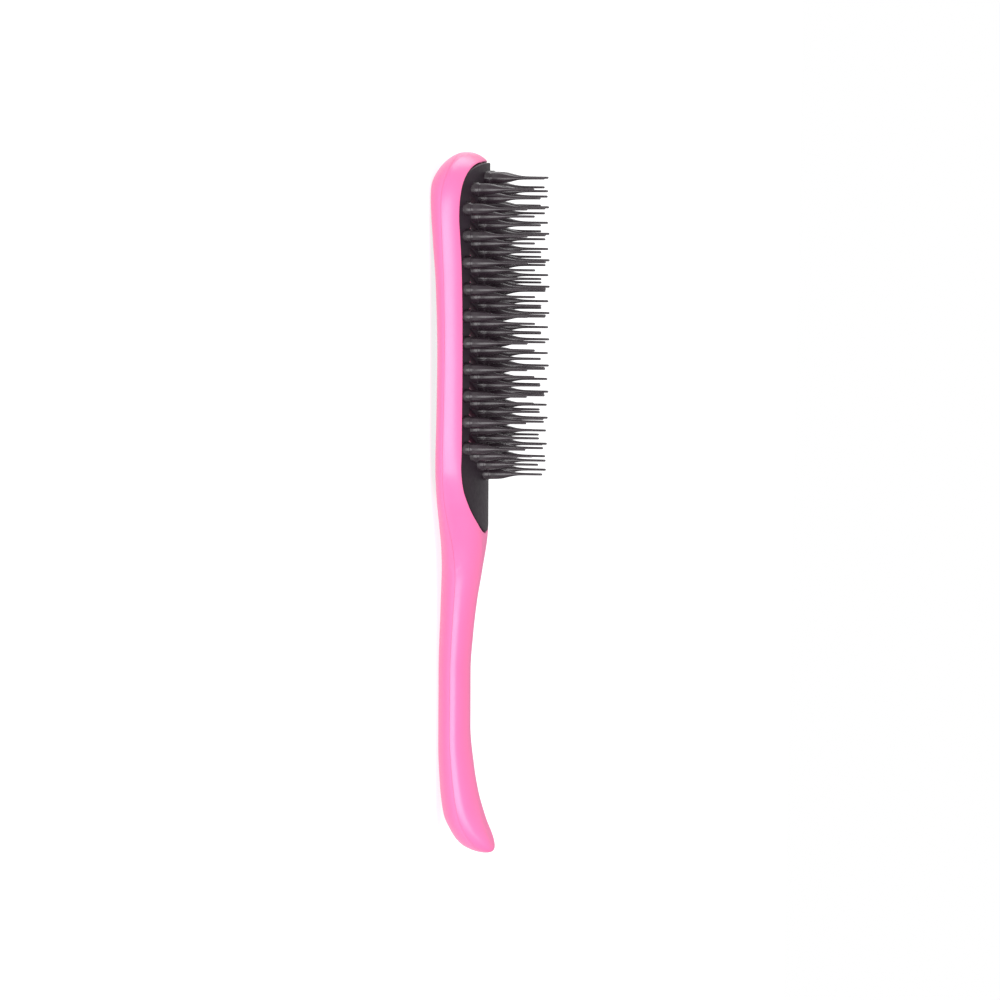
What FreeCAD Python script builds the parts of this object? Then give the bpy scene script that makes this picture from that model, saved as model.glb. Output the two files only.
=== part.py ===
"""Vented styling brush, lying on its back.

Row frame: X is across the brush, +Y runs from the handle to the head end, +Z is the way the teeth
point. The origin is under the middle of the brush, on the surface that its back rests on.
"""
import FreeCAD, Part
import math
import os

Vector = FreeCAD.Vector

doc = FreeCAD.newDocument("VentedBrush")

# ---------------------------------------------------------------- driving dimensions, millimetres
SIZES = [
    ("half_length", 122.4),        # middle of the brush to either end
    ("head_centre_y", 100.0),      # where the sides of the head start to round over its end
    ("head_half_width", 33.8),     # widest half width of the head
    ("head_end_power", 3.2),       # squareness of the head's end, 2 would be an ellipse
    ("butt_centre_y", -102.0),     # where the sides of the handle start to round over its butt
    ("butt_half_width", 13.2),
    ("butt_end_power", 2.3),
    ("wall", 2.0),                 # wall of the hollow handle
    ("cavity_low_y", -112.0),      # ends of the hollow inside the handle
    ("cavity_high_y", -16.0),
    ("plate_crown", 16.7),         # height of the plate's ridge line
    ("plate_radius", 62.0),        # radius of the plate's dome across the head
    ("plate_thick", 2.6),
    ("plate_top_centre_y", 100.0),
    ("plate_top_reach", 18.9),
    ("plate_top_power", 3.2),
    ("plate_tail_centre_y", 18.0),
    ("plate_tail_reach", 26.3),
    ("plate_tail_power", 1.8),
    ("ledge", 3.4),                # width of the ledge that carries the plate's edge
    ("back_window_low_y", 3.0),    # handle end of the opening in the back of the head
    ("vent_half_width", 21.4),     # the slots stop here, and the plate's edge carries on
    ("bar_width", 5.8),            # of a bar, measured along the brush
    ("row_pitch", 9.1),
    ("last_row_y", 12.75),         # inner pair of teeth in the row nearest the handle
    ("first_row_lead", 1.0),       # the short row at the head end stands this much further out
    ("chevron_apex", 4.9),         # how far a row's middle lies behind its inner pair of teeth
    ("chevron_slope", 0.75),
    ("chevron_bend", 0.0056),
    ("chevron_spread", 0.0137),    # the chevrons open a little from row to row towards the handle
    ("collar_radius", 2.35),
    ("collar_height", 1.65),
    ("collar_depth", 1.2),         # part of the collar that is sunk in the plate
    ("tooth_height", 20.9),        # plate to tip in the middle of the head
    ("tooth_arch", 0.0003),        # tips fall away to both ends of the head
    ("tooth_arch_y", 65.0),
    ("root_radius", 2.0),
    ("pin_radius", 0.45),
    ("tip_radius", 0.32),
]
sheet = doc.addObject("Spreadsheet::Sheet", "Sizes")
for line, (alias, value) in enumerate(SIZES, start=1):
    sheet.set(f"A{line}", alias)
    sheet.set(f"B{line}", str(value))
    sheet.setAlias(f"B{line}", alias)
doc.recompute()
size = {alias: float(sheet.get(alias)) for alias, _ in SIZES}

ROWS = 12
FULL_COLUMNS = (6.9, 12.9, 18.7, 24.0)   # distance of each column of teeth from the middle
BAR_ROWS = range(2, ROWS - 1)            # these rows stand on bars, the others on the plate's edge
FAR = 60.0                               # reaches past the sides of the brush
SECTION_POINTS = 48
SECTION_GAP = 9.5                        # between the sections of the body
HEAD_SECTIONS, BUTT_SECTIONS = 7, 6      # sections over the rounding of each end
CAVITY_GAP = 10.0
PARTING_STEP = 10.0
END_ALLOWANCE = 0.1                      # the outline closes this far past the last section

# Outlines as (y, value), from the head end to the butt.
BACK_LINE = [(122.4, 3.0), (117.0, 1.1), (111.0, 0.0),
             (93.0, 0.8), (78.0, 1.7), (55.0, 2.2), (35.0, 2.0), (12.0, 1.5), (-10.0, 1.45),
             (-33.0, 0.65), (-58.0, 0.0), (-84.0, 0.0), (-100.0, 0.75), (-108.0, 2.1),
             (-114.0, 4.8), (-119.0, 8.6), (-122.4, 13.5)]
FRONT_LINE = [(122.4, 16.7), (107.0, 16.7), (10.0, 16.5),
              (-8.0, 16.4), (-22.0, 14.9), (-33.0, 13.2), (-45.0, 11.85), (-58.0, 10.95),
              (-78.0, 10.95), (-93.0, 12.4), (-104.0, 14.4), (-111.0, 16.2), (-117.0, 18.5),
              (-122.4, 20.7)]
HALF_WIDTH = [(100.0, 33.8), (84.0, 32.3), (66.0, 31.6), (48.0, 31.4), (28.0, 31.5), (16.0, 30.4),
              (6.0, 26.8), (-4.0, 21.2), (-14.0, 16.2), (-24.0, 13.4), (-38.0, 12.3),
              (-60.0, 12.0), (-85.0, 12.8), (-102.0, 13.2)]
PLATE_HALF_WIDTH = [(100.0, 29.6), (84.0, 28.0), (66.0, 27.3), (48.0, 27.1), (28.0, 27.2), (18.0, 27.0)]
PLATE_SIDE_Y = (84.0, 66.0, 48.0, 32.0)  # the plate's sides are drawn through these
# Share of the thickness at which the brush is widest, and how much of the plate's dome its front has.
WIDEST_LEVEL = [(122.4, 0.40), (116.0, 0.33), (105.0, 0.26), (10.0, 0.22), (-30.0, 0.47),
                (-122.4, 0.5)]
DOMING = [(122.4, 0.9), (106.0, 0.8), (8.0, 0.8), (-25.0, 0.35), (-60.0, 0.0), (-122.4, 0.0)]
# Radius of a tooth between its collar and its pin, as (height above the collar, share of the root radius).
TOOTH_BODY = [(0.0, 1.0), (4.4, 0.87), (6.6, 0.60), (8.7, 0.34)]
PIN_START = 10.5                         # height above the collar at which the pin begins
# Distance in from the outline over which the front and the back round over to the widest level.
FRONT_ROUNDING = [(122.4, 6.3), (108.0, 4.6), (8.0, 4.6), (-25.0, 13.0), (-60.0, 12.0),
                  (-102.0, 13.2), (-112.0, 9.0), (-118.0, 4.0), (-122.4, 1.5)]
BACK_ROUNDING = [(122.4, 10.0), (108.0, 8.0), (8.0, 8.0), (-25.0, 13.0), (-60.0, 12.0),
                 (-102.0, 13.2), (-112.0, 9.0), (-118.0, 4.0), (-122.4, 1.5)]


def smooth(line, y):
    """Value of an outline at y: cubic through its points, flat at each turning point."""
    points = sorted(line)
    if y <= points[0][0]:
        return points[0][1]
    if y >= points[-1][0]:
        return points[-1][1]
    slopes = [(b[1] - a[1]) / (b[0] - a[0]) for a, b in zip(points, points[1:])]

    def tangent(k):
        if k == 0 or k == len(slopes):
            return slopes[min(k, len(slopes) - 1)]
        before, after = slopes[k - 1], slopes[k]
        return 0.0 if before * after <= 0 else 2 * before * after / (before + after)

    k = max(i for i in range(len(slopes)) if points[i][0] <= y)
    step = points[k + 1][0] - points[k][0]
    part = (y - points[k][0]) / step
    return (points[k][1] * (1 + 2 * part) * (1 - part) ** 2
            + points[k + 1][1] * part ** 2 * (3 - 2 * part)
            + tangent(k) * step * part * (1 - part) ** 2
            - tangent(k + 1) * step * part ** 2 * (1 - part))


HEAD_END = (size["head_centre_y"], size["half_length"] + END_ALLOWANCE - size["head_centre_y"],
            size["head_half_width"], size["head_end_power"])
BUTT_END = (size["butt_centre_y"], -size["half_length"] - END_ALLOWANCE - size["butt_centre_y"],
            size["butt_half_width"], size["butt_end_power"])


def rounded_end(y):
    """(centre, reach, half width, power) of the end that y lies in, or None between the ends."""
    if y > HEAD_END[0]:
        return HEAD_END
    return BUTT_END if y < BUTT_END[0] else None


def half_width(y):
    """Half width of the brush in plan: rounded head end, waisted sides, rounded butt."""
    end = rounded_end(y)
    if not end:
        return smooth(HALF_WIDTH, y)
    centre, reach, half, power = end
    return half * (1 - ((y - centre) / reach) ** power) ** (1 / power)


def distance_in(x, y):
    """How far a plan point lies inside the brush's outline."""
    end = rounded_end(y)
    if not end:
        return half_width(y) - abs(x)
    centre, reach, half, power = end
    across, along = abs(x) / half, (y - centre) / reach
    ring = (across ** power + along ** power) ** (1 / power)
    slope = math.hypot(across ** (power - 1) / half, along ** (power - 1) / reach)
    return max(1 - ring, 0.0) * ring ** (power - 1) / slope


def rounding(depth, reach):
    """Quarter circle: 0 on the outline, 1 from reach inwards."""
    return math.sqrt(1 - (1 - min(depth / reach, 1.0)) ** 2)


def dome_drop(x):
    return size["plate_radius"] - math.sqrt(size["plate_radius"] ** 2 - x * x)


def closed_curve(points):
    """Closed smooth wire through the points."""
    curve = Part.BSplineCurve()
    curve.interpolate(points, PeriodicFlag=True)
    return Part.Wire([curve.toShape()])


def widest_height(y):
    low, high = smooth(BACK_LINE, y), smooth(FRONT_LINE, y)
    return low + (high - low) * smooth(WIDEST_LEVEL, y)


def body_section(y, inset=0.0):
    """Cross-section of the brush's outer shape at y: domed front, flatter back, rounded sides."""
    widest = widest_height(y)
    shrink = 1 - inset / half_width(y)
    points = []
    for step in range(SECTION_POINTS):
        angle = 2 * math.pi * step / SECTION_POINTS
        x = half_width(y) * math.cos(angle)
        depth = distance_in(x, y)
        if math.sin(angle) >= 0:
            rise = smooth(FRONT_LINE, y) - inset - dome_drop(x) * smooth(DOMING, y) - widest
            z = widest + rise * rounding(depth, smooth(FRONT_ROUNDING, y))
        else:
            fall = widest - smooth(BACK_LINE, y) - inset
            z = widest - fall * rounding(depth, smooth(BACK_ROUNDING, y))
        points.append(Vector(x * shrink, y, z))
    return closed_curve(points)


def end_points(centre_y, reach, half, power, steps=9):
    """Points (x, y) round one end of an outline, from its side to its tip."""
    points = []
    for step in range(steps + 1):
        angle = math.pi / 2 * step / steps
        points.append((half * math.cos(angle) ** (2 / power),
                       centre_y + reach * math.sin(angle) ** (2 / power)))
    return points


def plate_outline(inset, tail_y):
    """Outline of the plate in plan, moved inwards by inset and with its tail ending at tail_y."""
    side = [(smooth(PLATE_HALF_WIDTH, y) - inset, y) for y in PLATE_SIDE_Y]
    tail_centre = size["plate_tail_centre_y"]
    head = end_points(size["plate_top_centre_y"], size["plate_top_reach"] - inset,
                      PLATE_HALF_WIDTH[0][1] - inset, size["plate_top_power"])
    tail = end_points(tail_centre, tail_y - tail_centre,
                      PLATE_HALF_WIDTH[-1][1] - inset, size["plate_tail_power"])
    right = head[::-1] + side + tail
    left = [(-x, y) for x, y in right[-2:0:-1]]
    return [Vector(x, y, 0) for x, y in right + left]


def keep(kind, name, shape=None, label=None, **properties):
    """Add an object to the document, with its properties and Label."""
    thing = doc.addObject(kind, name)
    if shape is not None:
        thing.Shape = shape
    for key, value in properties.items():
        setattr(thing, key, value)
    thing.Label = label or name
    return thing


def prism(name, wire):
    """Upright prism on a closed plan outline, tall enough to pass through the whole brush."""
    face = keep("Part::Feature", name + "_outline", Part.Face(wire))
    return keep("Part::Extrusion", name, Base=face, Dir=Vector(0, 0, 1), DirMode="Custom",
                LengthFwd=FAR, LengthRev=FAR)


# ---------------------------------------------------------------- outer shape of the pink body
def stations(low, high, gap):
    count = math.ceil((high - low) / gap)
    return [low + (high - low) * step / count for step in range(count + 1)]


def end_stations(centre_y, end_y, count):
    """Stations that crowd together towards an end, where the outline turns quickly."""
    return [centre_y + (end_y - centre_y) * math.sin(math.pi / 2 * step / count)
            for step in range(1, count + 1)]


body_ys = (end_stations(size["butt_centre_y"], -size["half_length"], BUTT_SECTIONS)[::-1]
           + stations(size["butt_centre_y"], size["head_centre_y"], SECTION_GAP)
           + end_stations(size["head_centre_y"], size["half_length"], HEAD_SECTIONS))
body_rings = [keep("Part::Feature", f"body_ring_{k:02d}", body_section(y))
              for k, y in enumerate(body_ys)]
outer_body = keep("Part::Loft", "outer_body", Sections=body_rings, Solid=True, Ruled=False)

cavity_rings = [keep("Part::Feature", f"cavity_ring_{k:02d}", body_section(y, size["wall"]))
                for k, y in enumerate(stations(size["cavity_low_y"], size["cavity_high_y"], CAVITY_GAP))]
cavity = keep("Part::Loft", "handle_cavity", Sections=cavity_rings, Solid=True, Ruled=False)

# ---------------------------------------------------------------- domed slab that the plate is cut from
dome_axis = FreeCAD.Placement(Vector(0, -FAR, 0), FreeCAD.Rotation(Vector(1, 0, 0), -90))
dome = keep("Part::Cylinder", "dome", Placement=dome_axis)
dome_underside = keep("Part::Cylinder", "dome_underside", Placement=dome_axis)
for cylinder, radius in ((dome, "Sizes.plate_radius"),
                         (dome_underside, "Sizes.plate_radius - Sizes.plate_thick")):
    cylinder.setExpression("Radius", radius)
    cylinder.setExpression("Height", "Sizes.half_length * 2")
    cylinder.setExpression("Placement.Base.z", "Sizes.plate_crown - Sizes.plate_radius")
slab = keep("Part::Cut", "dome_slab", Base=dome, Tool=dome_underside)

plate_prism = prism("plate_prism", closed_curve(plate_outline(0.0, size["plate_tail_centre_y"]
                                                              - size["plate_tail_reach"])))
window_prism = prism("back_window_prism", closed_curve(plate_outline(size["ledge"],
                                                                     size["back_window_low_y"])))
plate_seat = keep("Part::Cut", "plate_seat", Base=plate_prism, Tool=dome_underside)
plate_blank = keep("Part::Common", "plate_blank", Base=plate_prism, Tool=slab)

# ---------------------------------------------------------------- the two shells
hollows = keep("Part::Compound", "hollows", Links=[plate_seat, window_prism, cavity])
hollow_body = keep("Part::Cut", "hollow_body", Base=outer_body, Tool=hollows)


def parting_face():
    """Side view of everything behind the parting line, which follows the widest level."""
    line = []
    for y in stations(-size["half_length"], size["half_length"], PARTING_STEP):
        line.append(Vector(-FAR, y, widest_height(y)))
    curve = Part.BSplineCurve()
    curve.interpolate(line)
    ahead = Vector(-FAR, FAR * 3, line[-1].z)
    behind = Vector(-FAR, -FAR * 3, line[0].z)
    corners = [line[-1], ahead, Vector(-FAR, FAR * 3, -FAR), Vector(-FAR, -FAR * 3, -FAR), behind,
               line[0]]
    edges = [Part.LineSegment(a, b).toShape() for a, b in zip(corners, corners[1:])]
    return Part.Face(Part.Wire([curve.toShape()] + edges))


parting_side = keep("Part::Feature", "parting_side", parting_face())
behind_parting = keep("Part::Extrusion", "behind_parting", Base=parting_side, Dir=Vector(1, 0, 0),
                      DirMode="Custom", LengthFwd=FAR * 2)
back_shell = keep("Part::Common", "back_shell", Base=hollow_body, Tool=behind_parting)
front_shell = keep("Part::Cut", "front_shell", Base=hollow_body, Tool=behind_parting)


# ---------------------------------------------------------------- teeth
def row_y(row):
    """Where the inner pair of a row stands. Row 0 is at the head end."""
    lead = size["first_row_lead"] if row == 0 else 0.0
    return size["last_row_y"] + size["row_pitch"] * (ROWS - 1 - row) + lead


def chevron(x, row):
    """How far a row is swept towards the head end at a distance x from the middle."""
    sweep = size["chevron_slope"] * abs(x) - size["chevron_bend"] * x * x - size["chevron_apex"]
    return sweep * (1 + size["chevron_spread"] * (row - 7))


def row_columns(row):
    """Distances from the middle of a row's teeth."""
    pairs = {0: FULL_COLUMNS[:1], 1: FULL_COLUMNS[:3]}.get(row, FULL_COLUMNS)
    middle = [0.0] if row in (0, ROWS - 2) else []
    return middle + [side * x for x in pairs for side in (-1, 1)]


def tooth(x, y):
    """One tooth: a collar sunk in the plate, a stout root, and a thin pin with a round tip."""
    base = size["plate_crown"] - dome_drop(x)
    tip = base + size["tooth_height"] - size["tooth_arch"] * (y - size["tooth_arch_y"]) ** 2
    shoulder = base + size["collar_height"]
    root, pin, end = size["root_radius"], size["pin_radius"], size["tip_radius"]
    outline = [(0.0, base - size["collar_depth"]), (size["collar_radius"], base - size["collar_depth"]),
               (size["collar_radius"], shoulder)]
    outline += [(root * share, shoulder + height) for height, share in TOOTH_BODY]
    outline += [(pin, shoulder + PIN_START), (end, tip - end)]
    outline += [(end * math.cos(math.pi / 4), tip - end * (1 - math.sin(math.pi / 4))), (0.0, tip)]
    corners = [Vector(x + r, y, z) for r, z in outline]
    face = Part.Face(Part.makePolygon(corners + corners[:1]))
    return face.revolve(Vector(x, y, 0), Vector(0, 0, 1), 360)


tooth_rows = []
for row in range(ROWS):
    teeth = [tooth(x, row_y(row) + chevron(x, row)) for x in row_columns(row)]
    tooth_rows.append(keep("Part::Feature", f"tooth_row_{row + 1:02d}", Part.makeCompound(teeth)))

# ---------------------------------------------------------------- plate edge and vent bars
all_teeth = keep("Part::Compound", "all_teeth", Links=tooth_rows)
VENT_X = (0.0, 7.0, 14.0)                # the chevron is drawn through these and its two ends


def chevron_edge(row, shift, half):
    """Points of a chevron line across the vents, from left to right."""
    right = [Vector(x, row_y(row) + chevron(x, row) + shift, 0) for x in VENT_X + (half,)]
    left = [Vector(-point.x, point.y, 0) for point in right[:0:-1]]
    return left + right


bar_half = size["bar_width"] / 2
window_low = chevron_edge(ROWS - 1, bar_half, size["vent_half_width"])
window_high = chevron_edge(1, -bar_half, size["vent_half_width"])
vent_chevrons = prism("vent_chevrons", Part.makePolygon(window_low + window_high[::-1] + window_low[:1]))
vent_window = keep("Part::Common", "vent_window", Base=vent_chevrons, Tool=window_prism)
vent_slab = keep("Part::Common", "vent_slab", Base=window_prism, Tool=slab)
open_plate = keep("Part::Cut", "open_plate", Base=plate_blank, Tool=vent_window)
plate_edge = keep("Part::Cut", "plate_edge", Base=open_plate, Tool=all_teeth)

vent_bars = []
for number, row in enumerate(BAR_ROWS, start=1):
    low = chevron_edge(row, -bar_half, size["vent_half_width"])
    high = chevron_edge(row, bar_half, size["vent_half_width"])
    outline = prism(f"bar_prism_{number:02d}", Part.makePolygon(low + high[::-1] + low[:1]))
    blank = keep("Part::Common", f"bar_blank_{number:02d}", Base=outline, Tool=vent_slab)
    vent_bars.append(keep("Part::Cut", f"vent_bar_{number:02d}", Base=blank, Tool=tooth_rows[row]))

# ---------------------------------------------------------------- check and write
doc.recompute()
for thing in doc.Objects:
    if "Invalid" in thing.State or "Error" in thing.State:
        raise RuntimeError(f"{thing.Label} failed: {thing.State}")

nodes = [front_shell, back_shell, plate_edge] + vent_bars + tooth_rows
os.makedirs("parts", exist_ok=True)
for node in nodes:
    shape = node.Shape
    if shape.isNull() or not shape.isValid() or not shape.Solids:
        raise RuntimeError(f"{node.Label} has no valid solid")
for node in nodes:
    node.Shape.exportStep(f"parts/{node.Label}.step")
    box = node.Shape.BoundBox
    print(f"{node.Label:14s} solids {len(node.Shape.Solids):2d}  volume {node.Shape.Volume:9.1f}  "
          f"X {box.XMin:6.1f} {box.XMax:6.1f}  Y {box.YMin:7.1f} {box.YMax:7.1f}  "
          f"Z {box.ZMin:6.1f} {box.ZMax:6.1f}")
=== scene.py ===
"""Looks of the vented styling brush: moulded pink shells, black vented plate and tapered teeth.

Row frame: X across the brush, +Y towards the head end, +Z the way the teeth point. The outlines are
in millimetres, and every mesh is scaled to metres when it is made.
"""
import math
import bmesh
import bpy
from mathutils import Matrix, Vector


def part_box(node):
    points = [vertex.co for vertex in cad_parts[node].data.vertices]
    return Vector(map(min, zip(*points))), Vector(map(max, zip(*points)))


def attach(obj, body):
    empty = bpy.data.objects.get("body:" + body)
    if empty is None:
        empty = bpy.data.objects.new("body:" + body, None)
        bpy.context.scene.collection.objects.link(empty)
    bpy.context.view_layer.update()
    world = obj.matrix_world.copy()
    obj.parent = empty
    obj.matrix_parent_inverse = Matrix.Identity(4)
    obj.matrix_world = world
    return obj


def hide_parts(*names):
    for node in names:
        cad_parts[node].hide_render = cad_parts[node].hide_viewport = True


MM = 0.001
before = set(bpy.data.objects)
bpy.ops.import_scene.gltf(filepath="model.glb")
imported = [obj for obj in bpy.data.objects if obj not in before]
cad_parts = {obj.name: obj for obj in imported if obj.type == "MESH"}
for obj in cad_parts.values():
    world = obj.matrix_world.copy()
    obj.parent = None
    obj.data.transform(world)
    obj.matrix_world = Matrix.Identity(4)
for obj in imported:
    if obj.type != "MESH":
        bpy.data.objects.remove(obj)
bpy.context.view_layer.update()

# ---------------------------------------------------------------- driving sizes, millimetres
HALF_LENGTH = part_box("front_shell")[1].y / MM
END_ALLOWANCE = 0.1                      # the outline closes this far past the last section
HEAD_CENTRE_Y, HEAD_HALF_WIDTH, HEAD_POWER = 100.0, 33.8, 3.2
BUTT_CENTRE_Y, BUTT_HALF_WIDTH, BUTT_POWER = -102.0, 13.2, 2.3
PLATE_CROWN, PLATE_RADIUS, PLATE_THICK = 16.7, 62.0, 2.6
PLATE_TOP = (100.0, 18.9, 29.6, 3.2)     # centre y, reach, half width, squareness
PLATE_TAIL = (18.0, -26.3, 27.0, 1.8)
LEDGE = 3.4
BACK_WINDOW_LOW_Y = 3.0
VENT_HALF_WIDTH, BAR_WIDTH = 21.4, 5.8
ROWS, ROW_PITCH, LAST_ROW_Y, FIRST_ROW_LEAD = 12, 9.1, 12.75, 1.0
BAR_ROWS = range(2, ROWS - 1)            # these rows stand on bars, the others on the plate's edge
CHEVRON_APEX, CHEVRON_SLOPE, CHEVRON_BEND, CHEVRON_SPREAD = 4.9, 0.75, 0.0056, 0.0137
PLAIN_ROW = 7                            # rows nearer the handle than this one are swept more
COLUMNS = (6.9, 12.9, 18.7, 24.0)
COLLAR_RADIUS, COLLAR_HEIGHT, COLLAR_DEPTH = 2.35, 1.65, 1.2
TOOTH_HEIGHT, TOOTH_ARCH, TOOTH_ARCH_Y = 20.9, 0.0003, 65.0
FRONT_LIP, BACK_LIP = 0.45, 0.9          # rounding of the shells' inner edges
CREASE = math.radians(35.0)              # edges that turn by more than this stay sharp
NECK_Y = -20.0                           # the head patch meets the handle patch here
PARTING_GAP = 0.03                       # half the fine line between the two shells
PLATE_GAP = 0.45                         # between the plate's edge and the shell round it
SPINE = (20.0, 95.0)                     # the head patch is drawn outwards from this centre line

# Outlines as (y, value), from the head end to the butt.
BACK_LINE = [(122.4, 3.0), (117.0, 1.1), (111.0, 0.0), (93.0, 0.8), (78.0, 1.7), (55.0, 2.2), (35.0, 2.0),
             (12.0, 1.5), (-10.0, 1.45), (-33.0, 0.65), (-58.0, 0.0), (-84.0, 0.0), (-100.0, 0.75),
             (-108.0, 2.1), (-114.0, 4.8), (-119.0, 8.6), (-122.4, 13.5)]
FRONT_LINE = [(122.4, 16.7), (107.0, 16.7), (10.0, 16.5), (-8.0, 16.4), (-22.0, 14.9), (-33.0, 13.2),
              (-45.0, 11.85), (-58.0, 10.95), (-78.0, 10.95), (-93.0, 12.4), (-104.0, 14.4),
              (-111.0, 16.2), (-117.0, 18.5), (-122.4, 20.7)]
HALF_WIDTH = [(100.0, 33.8), (84.0, 32.3), (66.0, 31.6), (48.0, 31.4), (28.0, 31.5), (16.0, 30.4),
              (6.0, 26.8), (-4.0, 21.2), (-14.0, 16.2), (-24.0, 13.4), (-38.0, 12.3),
              (-60.0, 12.0), (-85.0, 12.8), (-102.0, 13.2)]
PLATE_HALF_WIDTH = [(100.0, 29.6), (84.0, 28.0), (66.0, 27.3), (48.0, 27.1), (28.0, 27.2), (18.0, 27.0)]
# Share of the thickness at which the body is widest.
WIDEST_LEVEL = [(122.4, 0.40), (116.0, 0.33), (105.0, 0.26), (10.0, 0.22), (-30.0, 0.47),
                (-122.4, 0.5)]
# Share of the plate's dome that the front of the body has.
DOMING = [(122.4, 0.9), (106.0, 0.8), (8.0, 0.8), (-25.0, 0.35), (-60.0, 0.0), (-122.4, 0.0)]
# Distance in from the outline over which the front and the back round over to the widest level.
FRONT_ROUNDING = [(122.4, 6.3), (108.0, 4.6), (8.0, 4.6), (-25.0, 13.0), (-60.0, 12.0),
                  (-102.0, 13.2), (-112.0, 9.0), (-118.0, 4.0), (-122.4, 1.5)]
BACK_ROUNDING = [(122.4, 10.0), (108.0, 8.0), (8.0, 8.0), (-25.0, 13.0), (-60.0, 12.0),
                 (-102.0, 13.2), (-112.0, 9.0), (-118.0, 4.0), (-122.4, 1.5)]
# Tooth radius, as (height above the collar, radius), from the root to the tip.
TOOTH_BODY = [(0.0, 2.0), (2.2, 1.95), (4.4, 1.74), (6.6, 1.2), (8.7, 0.72), (10.5, 0.52), (12.5, 0.45),
              (19.5, 0.38)]


# ---------------------------------------------------------------- shape functions
def smooth(line, y):
    """Value of an outline at y: cubic through its points, flat at each turning point."""
    points = sorted(line)
    if y <= points[0][0]:
        return points[0][1]
    if y >= points[-1][0]:
        return points[-1][1]
    k = max(i for i in range(len(points) - 1) if points[i][0] <= y)

    def slope(i):
        return (points[i + 1][1] - points[i][1]) / (points[i + 1][0] - points[i][0])

    def tangent(i):
        if i == 0 or i == len(points) - 1:
            return slope(min(i, len(points) - 2))
        before, after = slope(i - 1), slope(i)
        return 0.0 if before * after <= 0 else 2 * before * after / (before + after)

    step = points[k + 1][0] - points[k][0]
    part = (y - points[k][0]) / step
    return (points[k][1] * (1 + 2 * part) * (1 - part) ** 2
            + points[k + 1][1] * part ** 2 * (3 - 2 * part)
            + tangent(k) * step * part * (1 - part) ** 2
            - tangent(k + 1) * step * part ** 2 * (1 - part))


def oval(y, end):
    """Half width at y of a squared oval end, 0 beyond it."""
    centre, reach, half, power = end
    share = (y - centre) / reach
    return half * max(1 - share ** power, 0.0) ** (1 / power)


HEAD_END = (HEAD_CENTRE_Y, HALF_LENGTH + END_ALLOWANCE - HEAD_CENTRE_Y, HEAD_HALF_WIDTH, HEAD_POWER)
BUTT_END = (BUTT_CENTRE_Y, -HALF_LENGTH - END_ALLOWANCE - BUTT_CENTRE_Y, BUTT_HALF_WIDTH, BUTT_POWER)


def body_half(y):
    """Half width of the brush in plan."""
    if y > HEAD_CENTRE_Y:
        return oval(y, HEAD_END)
    return oval(y, BUTT_END) if y < BUTT_CENTRE_Y else smooth(HALF_WIDTH, y)


def plate_half(y, inset=0.0, tail_reach=PLATE_TAIL[1]):
    """Half width of the plate in plan, moved inwards by inset."""
    if y > PLATE_TOP[0]:
        return oval(y, (PLATE_TOP[0], PLATE_TOP[1] - inset, PLATE_TOP[2] - inset, PLATE_TOP[3]))
    if y < PLATE_TAIL[0]:
        return oval(y, (PLATE_TAIL[0], tail_reach, PLATE_TAIL[2] - inset, PLATE_TAIL[3]))
    return smooth(PLATE_HALF_WIDTH, y) - inset


def window_half(y):
    """Half width of the opening in the back of the head."""
    return plate_half(y, LEDGE, BACK_WINDOW_LOW_Y - PLATE_TAIL[0])


def distance_in(x, y):
    """How far a plan point lies inside the brush's outline."""
    if BUTT_CENTRE_Y <= y <= HEAD_CENTRE_Y:
        return max(body_half(y) - abs(x), 0.0)
    centre, reach, half, power = HEAD_END if y > 0 else BUTT_END
    across, along = abs(x) / half, (y - centre) / reach
    ring = (across ** power + along ** power) ** (1 / power)
    slope = math.hypot(across ** (power - 1) / half, along ** (power - 1) / reach)
    return max(1 - ring, 0.0) * ring ** (power - 1) / slope


def rounding(depth, reach):
    """Quarter circle: 0 on the outline, 1 from reach inwards."""
    return math.sqrt(max(1 - (1 - min(depth / reach, 1.0)) ** 2, 0.0))


def dome_drop(x):
    """How far the plate's dome lies below its crown at x."""
    return PLATE_RADIUS - math.sqrt(PLATE_RADIUS ** 2 - x * x)


def dome(x):
    return PLATE_CROWN - dome_drop(x)


def widest_height(y):
    low, high = smooth(BACK_LINE, y), smooth(FRONT_LINE, y)
    return low + (high - low) * smooth(WIDEST_LEVEL, y)


def front_height(x, y):
    rise = smooth(FRONT_LINE, y) - dome_drop(x) * smooth(DOMING, y) - widest_height(y) - PARTING_GAP
    return widest_height(y) + PARTING_GAP + rise * rounding(distance_in(x, y), smooth(FRONT_ROUNDING, y))


def back_height(x, y):
    fall = widest_height(y) - PARTING_GAP - smooth(BACK_LINE, y)
    return widest_height(y) - PARTING_GAP - fall * rounding(distance_in(x, y), smooth(BACK_ROUNDING, y))


def row_y(row):
    """Where the inner pair of a row stands. Row 0 is at the head end."""
    return LAST_ROW_Y + ROW_PITCH * (ROWS - 1 - row) + (FIRST_ROW_LEAD if row == 0 else 0.0)


def chevron(x, row):
    """How far a row is swept towards the head end at x."""
    sweep = CHEVRON_SLOPE * abs(x) - CHEVRON_BEND * x * x - CHEVRON_APEX
    return sweep * (1 + CHEVRON_SPREAD * (row - PLAIN_ROW))


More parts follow.
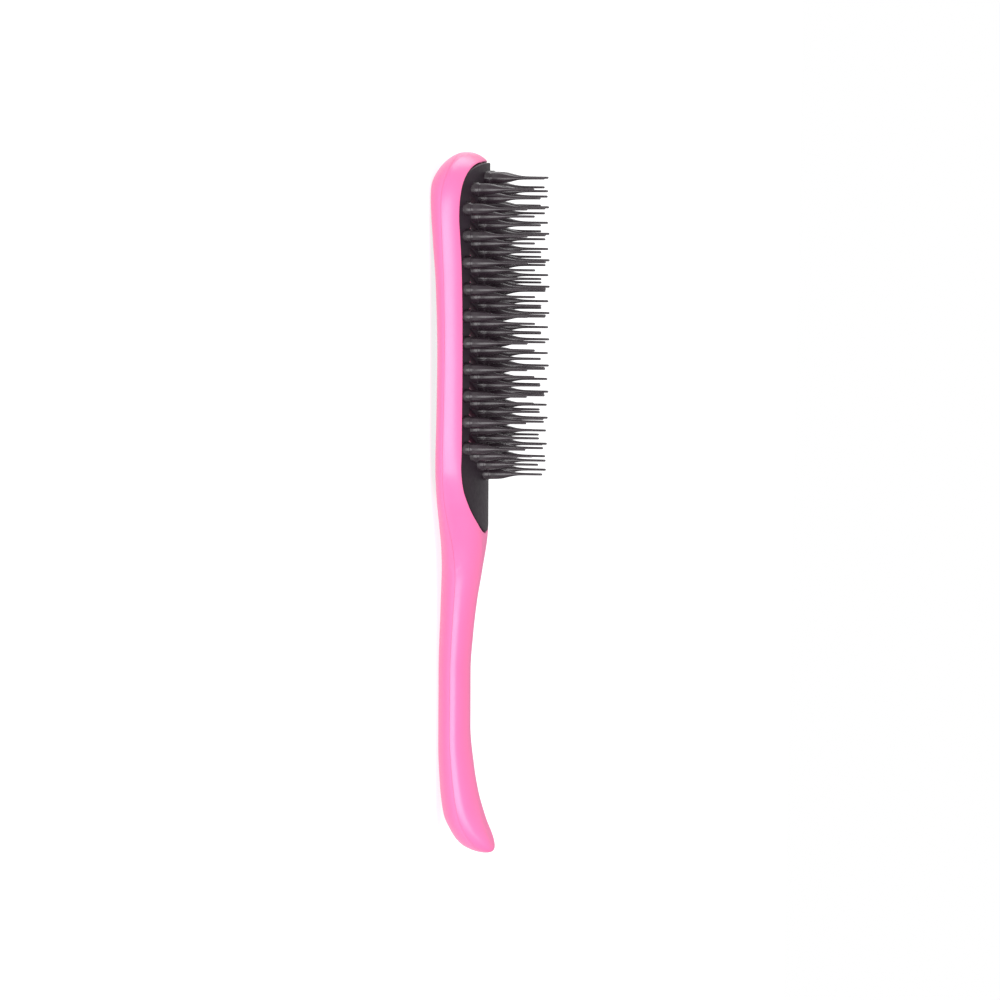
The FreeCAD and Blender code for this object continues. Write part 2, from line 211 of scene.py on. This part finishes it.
# ---------------------------------------------------------------- rays from the head's centre line
def make_rays():
    """(start y, direction x, direction y) all round the head, and the first and last ray of the fan
    that runs down the handle."""
    side, head, fan, shoulder = 62, 96, 40, 56
    low, high = SPINE
    rays = [(low + (high - low) * k / side, 1.0, 0.0) for k in range(side)]
    rays += [(high, math.cos(math.pi * k / head), math.sin(math.pi * k / head)) for k in range(head)]
    rays += [(high - (high - low) * k / side, -1.0, 0.0) for k in range(side)]
    edge = math.atan2(body_half(NECK_Y), low - NECK_Y)
    turn = math.pi / 2 - edge
    rays += [(low, -math.cos(turn * k / shoulder), -math.sin(turn * k / shoulder))
             for k in range(shoulder)]
    first = len(rays)
    for k in range(fan + 1):
        x = -body_half(NECK_Y) * math.cos(math.pi * k / fan)
        length = math.hypot(x, low - NECK_Y)
        rays.append((low, x / length, (NECK_Y - low) / length))
    last = len(rays) - 1
    rays += [(low, math.cos(turn * k / shoulder), -math.sin(turn * k / shoulder))
             for k in range(shoulder - 1, 0, -1)]
    return rays, first, last


RAYS, FAN_FIRST, FAN_LAST = make_rays()
FAN_BLEND = 30                           # rays beside the fan over which the points' spacing changes


def way_out(ray, inside, far):
    """Plan point where a ray leaves a region, found by halving between its start and far."""
    start, dx, dy = ray
    near = 0.0
    for _ in range(44):
        middle = (near + far) / 2
        if inside(dx * middle, start + dy * middle):
            near = middle
        else:
            far = middle
    return Vector((dx * near, start + dy * near))


def outline(half):
    """Plan points where the rays cross an outline, with their outward normals."""
    points = [way_out(ray, lambda x, y: abs(x) < half(y), 150.0) for ray in RAYS]
    count = len(points)
    normals = []
    for k in range(count):
        along = points[(k + 1) % count] - points[k - 1]
        normals.append(Vector((along.y, -along.x)).normalized())
    return points, normals


def body_half_to_neck(y):
    """Half width of the head patch, which stops at the neck."""
    return body_half(y) if y > NECK_Y else -1.0


# ---------------------------------------------------------------- mesh making
def tidy_mesh(mesh):
    """Join points in one place, drop unused ones and turn every face outwards."""
    work = bmesh.new()
    work.from_mesh(mesh)
    bmesh.ops.remove_doubles(work, verts=work.verts, dist=1e-7)
    loose = [point for point in work.verts if not point.link_faces]
    bmesh.ops.delete(work, geom=loose, context="VERTS")
    bmesh.ops.recalc_face_normals(work, faces=work.faces)
    work.to_mesh(mesh)
    work.free()


def make_piece(name, vertices, faces, node, material):
    """Piece with these faces that stands for a CAD node, all smooth but for its creases."""
    mesh = bpy.data.meshes.new(name)
    mesh.from_pydata([Vector(v) * MM for v in vertices], [], faces)
    mesh.validate()
    mesh.polygons.foreach_set("use_smooth", [True] * len(mesh.polygons))
    tidy_mesh(mesh)
    mesh.set_sharp_from_angle(angle=CREASE)
    mesh.materials.append(material)
    piece = bpy.data.objects.new(name, mesh)
    bpy.context.scene.collection.objects.link(piece)
    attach(piece, "root")
    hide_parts(node)


def ring_faces(rows, count, start=0, closed_section=False):
    """Quads between rows of count points, each row closed on itself."""
    faces = []
    for r in range(rows if closed_section else rows - 1):
        a, b = start + r * count, start + (r + 1) % rows * count
        for k in range(count):
            n = (k + 1) % count
            faces.append((a + k, a + n, b + n, b + k))
    return faces


def shell(name, node, facing, height, inner_rows, material):
    """One half of the pink body: a head patch round its opening, joined to a handle patch.

    inner_rows are the rows of points from the parting level up to the lip, height is the outer
    surface, and facing is 1 for the front shell and -1 for the back one."""
    count = len(RAYS)
    level = PARTING_GAP * facing
    outer, _ = outline(body_half_to_neck)
    for k in range(FAN_FIRST, FAN_LAST + 1):
        outer[k].y = NECK_Y
    lip = inner_rows[-1]
    vertices = [point for row in inner_rows for point in row]
    steps = 26
    for step in range(1, steps + 1):
        share = math.sin(math.pi / 2 * step / steps)
        for k in range(count):
            beside = max(FAN_FIRST - k, k - FAN_LAST, 0)
            even = max(1 - beside / FAN_BLEND, 0.0)
            part = share + (step / steps - share) * even
            x = lip[k][0] + (outer[k].x - lip[k][0]) * part
            y = lip[k][1] + (outer[k].y - lip[k][1]) * part
            z = height(x, y)
            if step == steps and not FAN_FIRST < k < FAN_LAST:
                z = widest_height(y) + level
            vertices.append((x, y, z))
    rows = len(inner_rows) + steps
    faces = ring_faces(rows, count)
    rim = (rows - 1) * count

    # parting face of the head, from the rim back to the first inner row
    parting = len(vertices)
    for k in range(count):
        vertices.append((outer[k].x, outer[k].y, widest_height(outer[k].y) + level))
    shared = [rim + k if not FAN_FIRST < k < FAN_LAST else parting + k for k in range(count)]
    for k in range(count):
        n = (k + 1) % count
        faces.append((shared[k], shared[n], n, k))

    # handle patch: its first row is the fan's outer row
    columns = FAN_LAST - FAN_FIRST
    before_top = [rim + FAN_FIRST + c for c in range(columns + 1)]
    before_low = [shared[FAN_FIRST + c] for c in range(columns + 1)]
    stations = 110
    end_y = -HALF_LENGTH + 0.02          # the butt keeps a little width here
    for station in range(1, stations + 1):
        y = NECK_Y + (end_y - NECK_Y) * math.sin(math.pi / 2 * station / stations)
        wide = body_half(y)
        top, low = [], []
        for c in range(columns + 1):
            x = -wide * math.cos(math.pi * c / columns)
            edge = c in (0, columns)
            flat = widest_height(y) + level
            top.append(len(vertices))
            vertices.append((x, y, flat if edge else height(x, y)))
            low.append(top[-1] if edge else len(vertices))
            if not edge:
                vertices.append((x, y, flat))
        for c in range(columns):
            faces.append((before_top[c], before_top[c + 1], top[c + 1], top[c]))
            faces.append((before_low[c + 1], before_low[c], low[c], low[c + 1]))
        before_top, before_low = top, low
    faces.append(tuple(before_top) + tuple(before_low[-2:0:-1]))
    faces = [tuple(dict.fromkeys(face)) for face in faces]
    faces = [face for face in faces if len(face) > 2]
    make_piece(name, vertices, faces, node, material)


def offset_row(points, normals, out, z_of):
    """An outline moved outwards, as (x, y, z) points at the heights of z_of."""
    row = []
    for point, normal in zip(points, normals):
        x, y = point.x + normal.x * out, point.y + normal.y * out
        row.append((x, y, z_of(x, y)))
    return row


def quarter_turn(radius, steps):
    """(outwards, sunk) of each point over a rounded lip, from its wall to its top."""
    angles = [math.pi / 2 * step / steps for step in range(steps + 1)]
    return [(radius * (1 - math.cos(angle)), radius * (1 - math.sin(angle))) for angle in angles]


def above_parting(rise, least):
    """Height of the plate's seat plus rise, kept at least this far above the parting."""
    return lambda x, y: max(dome(x) - PLATE_THICK + rise, widest_height(y) + least)


def make_shells(material):
    """The two pink shells, each from its parting face, up its opening and over the lip."""
    plate = outline(plate_half)
    window = outline(window_half)
    front_rows = [
        offset_row(*window, 0.0, lambda x, y: widest_height(y) + PARTING_GAP),
        offset_row(*window, 0.0, above_parting(-0.4, 0.3)),
        offset_row(*window, 0.3, above_parting(-0.1, 0.5)),
        offset_row(*plate, PLATE_GAP - 0.2, above_parting(-0.1, 0.5)),
        offset_row(*plate, PLATE_GAP, above_parting(0.1, 0.6)),
    ]
    for out, sunk in quarter_turn(FRONT_LIP, 4):
        front_rows.append(offset_row(*plate, PLATE_GAP + out,
                                     lambda x, y, sunk=sunk: front_height(x, y) - sunk))
    back_rows = [offset_row(*window, 0.0, lambda x, y: widest_height(y) - PARTING_GAP)]
    for out, sunk in quarter_turn(BACK_LIP, 5):
        back_rows.append(offset_row(*window, out,
                                    lambda x, y, sunk=sunk: back_height(x, y) + sunk))
    shell("front_casing", "front_shell", 1, front_height, front_rows, material)
    shell("back_casing", "back_shell", -1, back_height, back_rows, material)


def in_vent(x, y):
    """Whether a plan point lies in the vented window of the plate."""
    low = row_y(ROWS - 1) + chevron(x, ROWS - 1) + BAR_WIDTH / 2
    high = row_y(1) + chevron(x, 1) - BAR_WIDTH / 2
    return abs(x) < min(VENT_HALF_WIDTH, window_half(y)) and low < y < high


def make_plate_edge(material):
    """The plate's outer ring: domed, with softened edges, round the vented window."""
    outer, outer_normals = outline(plate_half)
    inner = [way_out(ray, in_vent, 60.0) for ray in RAYS]
    count = len(RAYS)
    soft = 0.4
    turn = quarter_turn(soft, 4)
    rows = []
    for out, sunk in turn:               # inner edge, rolling over from the wall to the top
        row = []
        for k in range(count):
            away = (outer[k] - inner[k]).normalized()
            x, y = inner[k].x + away.x * out, inner[k].y + away.y * out
            row.append((x, y, dome(x) - sunk))
        rows.append(row)
    steps = 14
    inner_top = rows[-1]
    for step in range(1, steps):
        row = []
        for k in range(count):
            start, stop = Vector(inner_top[k][:2]), outer[k] - outer_normals[k] * soft
            x, y = start.lerp(stop, step / steps)
            row.append((x, y, dome(x)))
        rows.append(row)
    for sunk, back in turn:              # outer edge, rolling over from the top to the wall
        rows.append(offset_row(outer, outer_normals, -back, lambda x, y, sunk=sunk: dome(x) - sunk))
    rows.append(offset_row(outer, outer_normals, 0.0, lambda x, y: dome(x) - PLATE_THICK))
    rows.append([(point.x, point.y, dome(point.x) - PLATE_THICK) for point in inner])
    vertices = [point for row in rows for point in row]
    faces = ring_faces(len(rows), count, closed_section=True)
    make_piece("vented_plate_edge", vertices, faces, "plate_edge", material)


def make_bars(material):
    """Chevron bars: a rounded section swept across the dome."""
    corner = 0.55
    section = []                         # (along the brush, below the dome)
    for centre_y, centre_z, first in ((1, 1, 0), (-1, 1, 90), (-1, -1, 180), (1, -1, 270)):
        for turn in range(5):
            angle = math.radians(first + 90 * turn / 4)
            along = centre_y * (BAR_WIDTH / 2 - corner) + corner * math.cos(angle)
            below = -PLATE_THICK / 2 + centre_z * (PLATE_THICK / 2 - corner) + corner * math.sin(angle)
            section.append((along, below))
    half = VENT_HALF_WIDTH + 0.25        # the bars' ends are sunk into the ring
    steps = 30
    for number, row in enumerate(BAR_ROWS, start=1):
        vertices = []
        for step in range(-steps, steps + 1):
            x = half * step / steps
            for along, below in section:
                y = row_y(row) + chevron(x, row) + along
                vertices.append((x, y, dome(x) + below))
        count = len(section)
        faces = ring_faces(2 * steps + 1, count)
        faces += [tuple(range(count)), tuple(range(len(vertices) - count, len(vertices)))]
        make_piece(f"chevron_bar_{number:02d}", vertices, faces, f"vent_bar_{number:02d}",
                   material)


def tooth_profile(height):
    """(radius, height above the plate) of a tooth whose tip is at height."""
    edge = 0.28
    profile = [(COLLAR_RADIUS, -COLLAR_DEPTH), (COLLAR_RADIUS, 0.0), (COLLAR_RADIUS, COLLAR_HEIGHT - edge),
               (COLLAR_RADIUS - edge * 0.3, COLLAR_HEIGHT - edge * 0.3),
               (COLLAR_RADIUS - edge, COLLAR_HEIGHT), (TOOTH_BODY[0][1] + 0.03, COLLAR_HEIGHT + 0.02)]
    tip = TOOTH_BODY[-1][1]
    top = height - tip - COLLAR_HEIGHT
    steps = 22
    profile += [(smooth(TOOTH_BODY, top * k / steps), COLLAR_HEIGHT + 0.08 + (top - 0.08) * k / steps)
                for k in range(steps + 1)]
    profile += [(tip * math.cos(angle), height - tip + tip * math.sin(angle))
                for angle in (0.4, 0.8, 1.2)]
    return profile


def make_teeth(material):
    """One piece for each chevron row of teeth."""
    sides = 24
    for row in range(ROWS):
        pairs = {0: COLUMNS[:1], 1: COLUMNS[:3]}.get(row, COLUMNS)
        middle = [0.0] if row in (0, ROWS - 2) else []
        vertices, faces = [], []
        for x in middle + [side * x for x in pairs for side in (-1, 1)]:
            y = row_y(row) + chevron(x, row)
            profile = tooth_profile(TOOTH_HEIGHT - TOOTH_ARCH * (y - TOOTH_ARCH_Y) ** 2)
            start = len(vertices)
            for radius, z in profile:
                for k in range(sides):
                    angle = 2 * math.pi * k / sides
                    vertices.append((x + radius * math.cos(angle), y + radius * math.sin(angle),
                                     dome(x) + z))
            faces += ring_faces(len(profile), sides, start)
            faces.append(tuple(start + k for k in range(sides)))
            last = start + (len(profile) - 1) * sides
            vertices.append((x, y, dome(x) + profile[-1][1] + 0.02))
            tip = len(vertices) - 1
            faces += [(last + k, last + (k + 1) % sides, tip) for k in range(sides)]
        make_piece(f"teeth_row_{row + 1:02d}", vertices, faces, f"tooth_row_{row + 1:02d}",
                   material)


# ---------------------------------------------------------------- materials
def add_node(tree, kind, **values):
    """Node with these values, each an attribute or, with spaces for underscores, a socket."""
    node = tree.nodes.new(kind)
    for key, value in values.items():
        if hasattr(node, key):
            setattr(node, key, value)
        else:
            node.inputs[key.replace("_", " ")].default_value = value
    return node


def moulded_plastic(name, colour, shade, roughness, spread, grain_scale, grain_depth, mottle_scale,
                    specular=0.5):
    """Moulded plastic: slow colour drift, uneven polish and a fine surface grain."""
    material = bpy.data.materials.new(name)
    material.use_nodes = True
    tree = material.node_tree
    shader = tree.nodes["Principled BSDF"]
    shader.inputs["Specular IOR Level"].default_value = specular
    place = add_node(tree, "ShaderNodeTexCoord")

    mottle = add_node(tree, "ShaderNodeTexNoise", Scale=mottle_scale, Detail=3.0, Roughness=0.55)
    tree.links.new(place.outputs["Object"], mottle.inputs["Vector"])
    tint = add_node(tree, "ShaderNodeValToRGB")
    tint.color_ramp.elements[0].position = 0.3
    tint.color_ramp.elements[1].position = 0.7
    tint.color_ramp.elements[0].color = (*shade, 1.0)
    tint.color_ramp.elements[1].color = (*colour, 1.0)
    tree.links.new(mottle.outputs["Fac"], tint.inputs["Fac"])
    tree.links.new(tint.outputs["Color"], shader.inputs["Base Color"])

    polish = add_node(tree, "ShaderNodeTexNoise", Scale=mottle_scale * 9, Detail=5.0, Roughness=0.6)
    tree.links.new(place.outputs["Object"], polish.inputs["Vector"])
    span = add_node(tree, "ShaderNodeMapRange")
    span.inputs["From Min"].default_value = 0.3
    span.inputs["From Max"].default_value = 0.7
    span.inputs["To Min"].default_value = roughness - spread
    span.inputs["To Max"].default_value = roughness + spread
    tree.links.new(polish.outputs["Fac"], span.inputs["Value"])
    tree.links.new(span.outputs["Result"], shader.inputs["Roughness"])

    grain = add_node(tree, "ShaderNodeTexNoise", Scale=grain_scale, Detail=4.0, Roughness=0.6)
    tree.links.new(place.outputs["Object"], grain.inputs["Vector"])
    bump = add_node(tree, "ShaderNodeBump")
    bump.inputs["Strength"].default_value = 0.35
    bump.inputs["Distance"].default_value = grain_depth
    tree.links.new(grain.outputs["Fac"], bump.inputs["Height"])
    tree.links.new(bump.outputs["Normal"], shader.inputs["Normal"])
    return material


pink = moulded_plastic("pink_moulded", (0.800, 0.136, 0.350), (0.780, 0.124, 0.328), 0.36, 0.02,
                       500.0, 0.000004, 22.0, specular=0.75)
black_plate = moulded_plastic("black_plate_moulded", (0.017, 0.009, 0.015), (0.011, 0.006, 0.010),
                              0.46, 0.06, 3200.0, 0.00002, 60.0, specular=0.22)
black_teeth = moulded_plastic("black_tooth_moulded", (0.024, 0.015, 0.021), (0.016, 0.010, 0.014),
                              0.24, 0.05, 2400.0, 0.000008, 80.0, specular=0.5)

make_shells(pink)
make_plate_edge(black_plate)
make_bars(black_plate)
make_teeth(black_teeth)


# ---------------------------------------------------------------- floor, light and camera
def make_floor():
    """Pale floor just under the brush, glowing a little so that it looks white."""
    mesh = bpy.data.meshes.new("floor")
    side = 30.0
    drop = -0.0002
    mesh.from_pydata([(-side, -side, drop), (side, -side, drop), (side, side, drop), (-side, side, drop)],
                     [], [(0, 1, 2, 3)])
    floor = bpy.data.objects.new("floor", mesh)
    bpy.context.scene.collection.objects.link(floor)
    material = moulded_plastic("pale_floor", (0.40, 0.40, 0.40), (0.39, 0.39, 0.39), 0.9, 0.03,
                               300.0, 0.00002, 4.0, specular=0.0)
    shader = material.node_tree.nodes["Principled BSDF"]
    shader.inputs["Emission Color"].default_value = (1.0, 1.0, 1.0, 1.0)
    shader.inputs["Emission Strength"].default_value = 0.80
    floor.data.materials.append(material)


def soft_light(name, place, aim, width, height, brightness):
    """Softbox that shows the object an even brightness over its whole face."""
    data = bpy.data.lights.new(name, "AREA")
    data.shape = "RECTANGLE"
    data.size, data.size_y = width, height
    data.energy = brightness * math.pi * width * height
    light = bpy.data.objects.new(name, data)
    bpy.context.scene.collection.objects.link(light)
    light.location = place
    light.rotation_euler = (Vector(aim) - Vector(place)).to_track_quat("-Z", "Y").to_euler()
    light.visible_camera = False


def make_world():
    """White to look at. As light it is a dome, brightest above the camera's side of the head end."""
    bright_way = Vector((-0.60, 0.50, 0.62)).normalized()
    world = bpy.data.worlds.new("studio")
    world.use_nodes = True
    tree = world.node_tree
    place = add_node(tree, "ShaderNodeTexCoord")
    toward = add_node(tree, "ShaderNodeVectorMath")
    toward.operation = "DOT_PRODUCT"
    tree.links.new(place.outputs["Generated"], toward.inputs[0])
    toward.inputs[1].default_value = bright_way
    dome_light = add_node(tree, "ShaderNodeMapRange")
    for socket, value in (("From Min", -1.0), ("From Max", 1.0), ("To Min", 0.34), ("To Max", 0.80)):
        dome_light.inputs[socket].default_value = value
    tree.links.new(toward.outputs["Value"], dome_light.inputs["Value"])
    path = add_node(tree, "ShaderNodeLightPath")
    seen = add_node(tree, "ShaderNodeMath")
    seen.operation = "MAXIMUM"
    tree.links.new(path.outputs["Is Camera Ray"], seen.inputs[0])
    tree.links.new(dome_light.outputs["Result"], seen.inputs[1])
    tree.links.new(seen.outputs["Value"], tree.nodes["Background"].inputs["Strength"])
    tree.nodes["Background"].inputs["Color"].default_value = (1.0, 1.0, 1.0, 1.0)
    bpy.context.scene.world = world


def make_camera():
    """Side view from a little above and a little towards the head end, turned so that the head is up."""
    toward = Vector((-0.98565, 0.13056, 0.10698)).normalized()
    aim, distance, turn = Vector((0.0, 0.0027, 0.0211)), 0.9816, math.radians(1.16)
    right = (Vector((0, 0, 1)) - toward * toward.z).normalized()
    up = toward.cross(right)
    right, up = right * math.cos(turn) + up * math.sin(turn), up * math.cos(turn) - right * math.sin(turn)
    data = bpy.data.cameras.new("camera")
    data.sensor_width, data.lens = 36.0, 101.8
    data.clip_start, data.clip_end = 0.05, 50.0
    camera = bpy.data.objects.new("camera", data)
    bpy.context.scene.collection.objects.link(camera)
    camera.matrix_world = (Matrix.Translation(aim + toward * distance)
                           @ Matrix((right, up, toward)).transposed().to_4x4())
    bpy.context.scene.camera = camera


make_floor()
soft_light("head_softbox", (0.45, 0.80, 0.30), (0.0, 0.03, 0.015), 0.80, 0.50, 3.0)
soft_light("camera_side_softbox", (-0.70, -0.08, 0.42), (0.0, 0.0, 0.012), 0.60, 0.95, 4.5)
make_world()
bpy.context.scene.view_settings.view_transform = "Standard"
make_camera()
